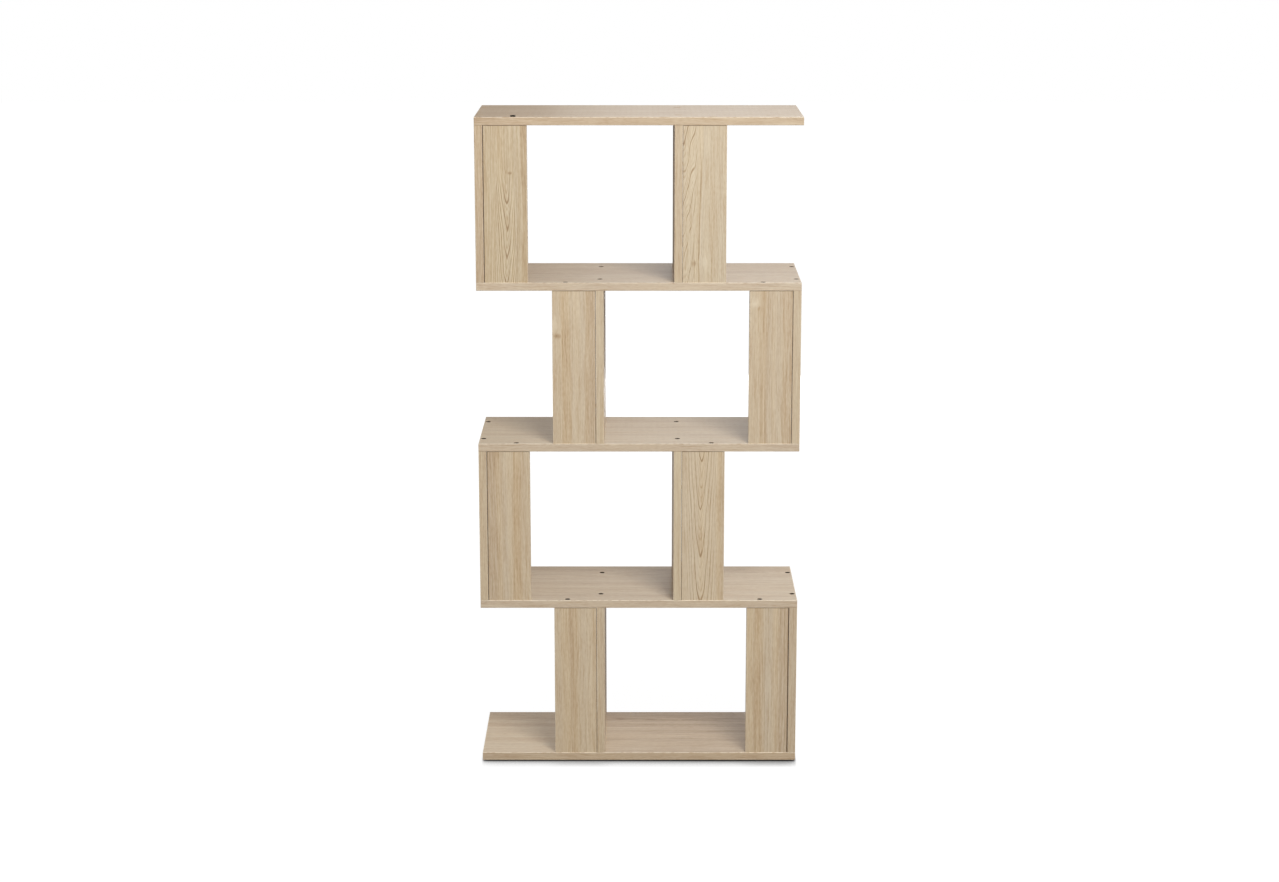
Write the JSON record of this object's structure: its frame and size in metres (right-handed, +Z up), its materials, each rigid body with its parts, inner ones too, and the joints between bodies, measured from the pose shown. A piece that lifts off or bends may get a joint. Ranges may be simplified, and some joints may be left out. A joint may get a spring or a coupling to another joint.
{
  "type": "zigzag bookshelf",
  "caption": "Free-standing zigzag bookshelf of equal oak-look shelves on L-shaped posts that change sides from tier to tier; holds books and ornaments.",
  "frame": {"origin": "on the floor, below the middle of the bookshelf's outline", "axes": "+X along the shelves to the right as seen from the front, -Y out of the front, +Z up"},
  "size_m": [0.6, 0.24, 1.2365],
  "materials": {
    "oak_laminate": "satin oak-look laminate",
    "oak_edge_band": "satin oak-look edge banding",
    "oak_cover_disc": "matte oak-look film",
    "black_screw": "black zinc",
    "beech_dowel": "raw beech",
    "glide_plastic": "brown plastic",
    "nail_steel": "zinc plated"
  },
  "bodies": {
    "root": {"floor_glides": "glide_plastic", "glide_nails": "nail_steel", "shelf_1": "oak_laminate", "shelf_1_edge_bands": "oak_edge_band", "shelf_2": "oak_laminate", "shelf_2_edge_bands": "oak_edge_band", "shelf_3": "oak_laminate", "shelf_3_edge_bands": "oak_edge_band", "shelf_4": "oak_laminate", "shelf_4_edge_bands": "oak_edge_band", "shelf_5": "oak_laminate", "shelf_5_edge_bands": "oak_edge_band", "tier_1_edge_dowels": "beech_dowel", "tier_1_end_dowels": "beech_dowel", "tier_1_end_front_panel": "oak_laminate", "tier_1_end_side_panel": "oak_laminate", "tier_1_front_panel_bands": "oak_edge_band", "tier_1_lower_screws": "black_screw", "tier_1_middle_front_panel": "oak_laminate", "tier_1_middle_side_panel": "oak_laminate", "tier_1_side_panel_bands": "oak_edge_band", "tier_1_upper_screws": "black_screw", "tier_2_edge_dowels": "beech_dowel", "tier_2_end_dowels": "beech_dowel", "tier_2_end_front_panel": "oak_laminate", "tier_2_end_side_panel": "oak_laminate", "tier_2_front_panel_bands": "oak_edge_band", "tier_2_lower_screws": "black_screw", "tier_2_middle_front_panel": "oak_laminate", "tier_2_middle_side_panel": "oak_laminate", "tier_2_side_panel_bands": "oak_edge_band", "tier_2_upper_screws": "black_screw", "tier_3_edge_dowels": "beech_dowel", "tier_3_end_dowels": "beech_dowel", "tier_3_end_front_panel": "oak_laminate", "tier_3_end_side_panel": "oak_laminate", "tier_3_front_panel_bands": "oak_edge_band", "tier_3_lower_screws": "black_screw", "tier_3_middle_front_panel": "oak_laminate", "tier_3_middle_side_panel": "oak_laminate", "tier_3_side_panel_bands": "oak_edge_band", "tier_3_upper_screws": "black_screw", "tier_4_edge_dowels": "beech_dowel", "tier_4_end_dowels": "beech_dowel", "tier_4_end_front_panel": "oak_laminate", "tier_4_end_side_panel": "oak_laminate", "tier_4_front_panel_bands": "oak_edge_band", "tier_4_lower_screws": "black_screw", "tier_4_middle_front_panel": "oak_laminate", "tier_4_middle_side_panel": "oak_laminate", "tier_4_side_panel_bands": "oak_edge_band", "tier_4_upper_screws": "black_screw", "top_screw_covers": "oak_cover_disc"}
  },
  "joints": []
}
